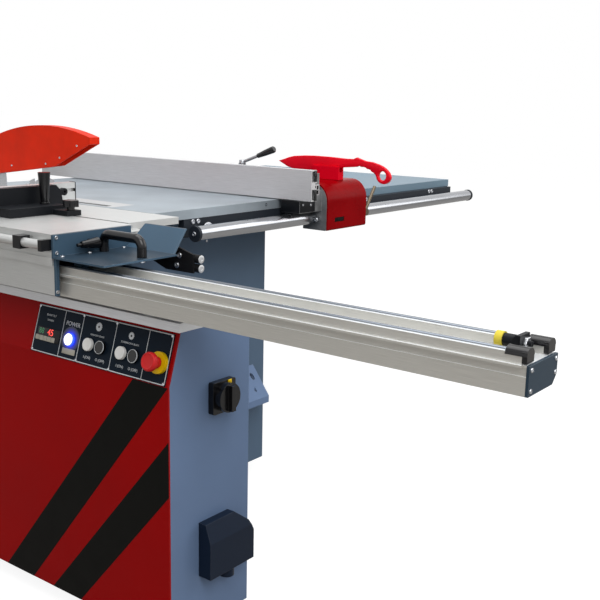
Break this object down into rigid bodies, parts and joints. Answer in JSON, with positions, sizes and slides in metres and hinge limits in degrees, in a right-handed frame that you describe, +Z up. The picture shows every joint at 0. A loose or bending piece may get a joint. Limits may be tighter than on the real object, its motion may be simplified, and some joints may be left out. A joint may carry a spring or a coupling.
{
  "type": "sliding_table_saw",
  "caption": "Sliding table saw with a beam-guided carriage, a crosscut fence, a rip fence on a round rail, a tilting blade and a red guard",
  "frame": {"origin": "middle of the machine's footprint box, on the floor", "axes": "+X to the operator's right, +Y away from the operator along the saw's cut, +Z up"},
  "size_m": [2.151, 3.15, 1.063],
  "materials": {
    "base_paint": "satin powder coat",
    "red_panel": "gloss paint with a black stripe",
    "cabinet_paint": "satin powder coat",
    "dark_paint": "satin powder coat",
    "bracket_paint": "satin powder coat",
    "black_paint": "satin black paint",
    "black_rubber": "matt",
    "yellow_rubber": "matt",
    "panel_face": "printed film",
    "yellow_plastic": "gloss",
    "black_plastic": "fine grain",
    "white_plastic": "gloss",
    "stop_plastic": "gloss",
    "red_plastic": "gloss",
    "guard_plastic": "satin",
    "beam_aluminium": "natural anodised, fine draw lines",
    "carriage_aluminium": "natural anodised",
    "fence_aluminium": "natural anodised",
    "insert_aluminium": "milled",
    "bright_steel": "ground",
    "chrome_rail": "polished",
    "cast_table": "ground top",
    "cast_dark": "as cast"
  },
  "bodies": {
    "frame": {"left_base": "base_paint", "side_panel": "red_panel", "main_cabinet": "cabinet_paint", "feet": "black_rubber", "control_panel": "panel_face", "estop_collar": "yellow_plastic", "switch_plate": "black_plastic", "power_inlet": "dark_paint", "tool_bracket": "base_paint", "beam": "beam_aluminium", "guide_rods": "bright_steel", "rod_caps": "black_plastic", "beam_end_covers": "bracket_paint", "beam_mount_bar": "insert_aluminium", "bumper_brackets": "black_paint", "bumpers": "yellow_rubber", "main_table": "cast_table", "table_insert": "insert_aluminium", "extension_table": "base_paint", "rail_bar": "black_paint", "fence_rail": "chrome_rail", "trunnions": "cast_dark"},
    "carriage": {"carriage_table": "carriage_aluminium", "carriage_strip": "carriage_aluminium", "front_bracket": "bracket_paint", "rear_plate": "bracket_paint", "push_handle": "black_plastic", "carriage_buffers": "black_rubber", "side_bar": "carriage_aluminium", "bar_brackets": "black_plastic"},
    "carriage_lock": {"carriage_knob": "black_plastic"},
    "rollers": {"roller_cage": "cast_dark"},
    "crosscut": {"crosscut_base": "black_paint", "crosscut_fence": "carriage_aluminium"},
    "crosscut_clamp": {"crosscut_handle": "black_plastic"},
    "crosscut_knob": {"star_knob": "black_plastic"},
    "rip_head": {"fence_head": "cast_dark", "fence_cover": "red_plastic"},
    "rip_plate": {"fence_plate": "fence_aluminium"},
    "rip_lock": {"fence_lock_lever": "chrome_rail"},
    "rip_clamp": {"fence_clamp_lever": "black_plastic"},
    "stick": {"push_stick": "red_plastic"},
    "tilt_unit": {"tilt_frame": "cast_dark", "scoring_motor": "cabinet_paint"},
    "lift_unit": {"arbor_block": "cast_dark", "main_motor": "cabinet_paint", "drive_belt": "black_rubber", "riving_knife": "bright_steel"},
    "blade": {"saw_arbor": "bright_steel", "main_blade": "bright_steel"},
    "drive": {"motor_pulley": "bright_steel"},
    "scorer": {"scoring_blade": "bright_steel"},
    "guard": {"blade_guard": "guard_plastic"},
    "start": {"start_button": "white_plastic"},
    "stop": {"stop_button": "black_plastic"},
    "scoring_start": {"scoring_start_button": "white_plastic"},
    "scoring_stop": {"scoring_stop_button": "black_plastic"},
    "estop": {"estop_button": "stop_plastic"},
    "switch": {"switch_knob": "black_plastic"},
    "door": {"service_door": "cabinet_paint"}
  },
  "joints": [
    {"name": "carriage_slide", "type": "slide", "parent": "frame", "child": "carriage", "axis": [0, 1, 0], "range_m": [-0.93, 0.444]},
    {"name": "roller_slide", "type": "slide", "parent": "frame", "child": "rollers", "axis": [0, 1, 0], "range_m": [-0.465, 0.222]},
    {"name": "carriage_lock_turn", "type": "hinge", "parent": "carriage", "child": "carriage_lock", "pos_m": [-0.7495, -0.57, 0.845], "axis": [0, 1, 0], "range_deg": [0, 60]},
    {"name": "crosscut_pivot", "type": "hinge", "parent": "carriage", "child": "crosscut", "pos_m": [-0.6165, -0.345, 0.876], "axis": [0, 0, 1], "range_deg": [-45, 45]},
    {"name": "crosscut_clamp_turn", "type": "hinge", "parent": "crosscut", "child": "crosscut_clamp", "pos_m": [-0.6245, -0.261, 0.918], "axis": [0, 0, 1], "range_deg": [0, 120]},
    {"name": "crosscut_knob_turn", "type": "hinge", "parent": "crosscut", "child": "crosscut_knob", "pos_m": [-0.6165, -0.345, 0.895], "axis": [0, 0, 1], "range_deg": [0, 180]},
    {"name": "fence_slide", "type": "slide", "parent": "frame", "child": "rip_head", "axis": [1, 0, 0], "range_m": [-0.38, 0.7]},
    {"name": "fence_plate_slide", "type": "slide", "parent": "rip_head", "child": "rip_plate", "axis": [0, 1, 0], "range_m": [-0.15, 0.2]},
    {"name": "fence_lock_turn", "type": "hinge", "parent": "rip_head", "child": "rip_lock", "pos_m": [0.3355, -0.53, 0.818], "axis": [0, 1, 0], "range_deg": [0, 55]},
    {"name": "fence_clamp_turn", "type": "hinge", "parent": "rip_head", "child": "rip_clamp", "pos_m": [0.0788, -0.266, 0.96], "axis": [0, 0, 1], "range_deg": [-40, 40]},
    {"name": "stick_lift", "type": "slide", "parent": "rip_head", "child": "stick", "axis": [0, 0, 1], "range_m": [0, 0.08]},
    {"name": "blade_tilt", "type": "hinge", "parent": "frame", "child": "tilt_unit", "pos_m": [-0.4215, 0, 0.87], "axis": [0, 1, 0], "range_deg": [0, 45]},
    {"name": "blade_lift", "type": "slide", "parent": "tilt_unit", "child": "lift_unit", "axis": [0, 0, 1], "range_m": [-0.02, 0.035]},
    {"name": "blade_spin", "type": "hinge", "parent": "lift_unit", "child": "blade", "pos_m": [-0.4215, 0, 0.7675], "axis": [1, 0, 0], "continuous": true},
    {"name": "motor_spin", "type": "hinge", "parent": "lift_unit", "child": "drive", "pos_m": [-0.2815, 0.16, 0.6895], "axis": [1, 0, 0], "continuous": true},
    {"name": "scoring_spin", "type": "hinge", "parent": "tilt_unit", "child": "scorer", "pos_m": [-0.4215, -0.205, 0.811], "axis": [1, 0, 0], "continuous": true},
    {"name": "guard_swing", "type": "hinge", "parent": "lift_unit", "child": "guard", "pos_m": [-0.4215, 0.195, 0.978], "axis": [-1, 0, 0], "range_deg": [0, 35]},
    {"name": "start_press", "type": "slide", "parent": "frame", "child": "start", "axis": [0.9572, 0, -0.2896], "range_m": [0, 0.004], "stiffness_N_per_m": 800},
    {"name": "stop_press", "type": "slide", "parent": "frame", "child": "stop", "axis": [0.9572, 0, -0.2896], "range_m": [0, 0.004], "stiffness_N_per_m": 800},
    {"name": "scoring_start_press", "type": "slide", "parent": "frame", "child": "scoring_start", "axis": [0.9572, 0, -0.2896], "range_m": [0, 0.004], "stiffness_N_per_m": 800},
    {"name": "scoring_stop_press", "type": "slide", "parent": "frame", "child": "scoring_stop", "axis": [0.9572, 0, -0.2896], "range_m": [0, 0.004], "stiffness_N_per_m": 800},
    {"name": "estop_press", "type": "slide", "parent": "frame", "child": "estop", "axis": [0.9572, 0, -0.2896], "range_m": [0, 0.004], "stiffness_N_per_m": 800},
    {"name": "switch_turn", "type": "hinge", "parent": "frame", "child": "switch", "pos_m": [-0.6395, -0.852, 0.544], "axis": [0, 1, 0], "range_deg": [0, 90]},
    {"name": "door_swing", "type": "hinge", "parent": "frame", "child": "door", "pos_m": [0.1185, 0.214, 0.4], "axis": [0, 0, 1], "range_deg": [0, 100]}
  ],
  "couplings": [
    {"joint": "roller_slide", "follows": "carriage_slide", "ratio": 0.5},
    {"joint": "motor_spin", "follows": "blade_spin", "ratio": 0.8}
  ]
}
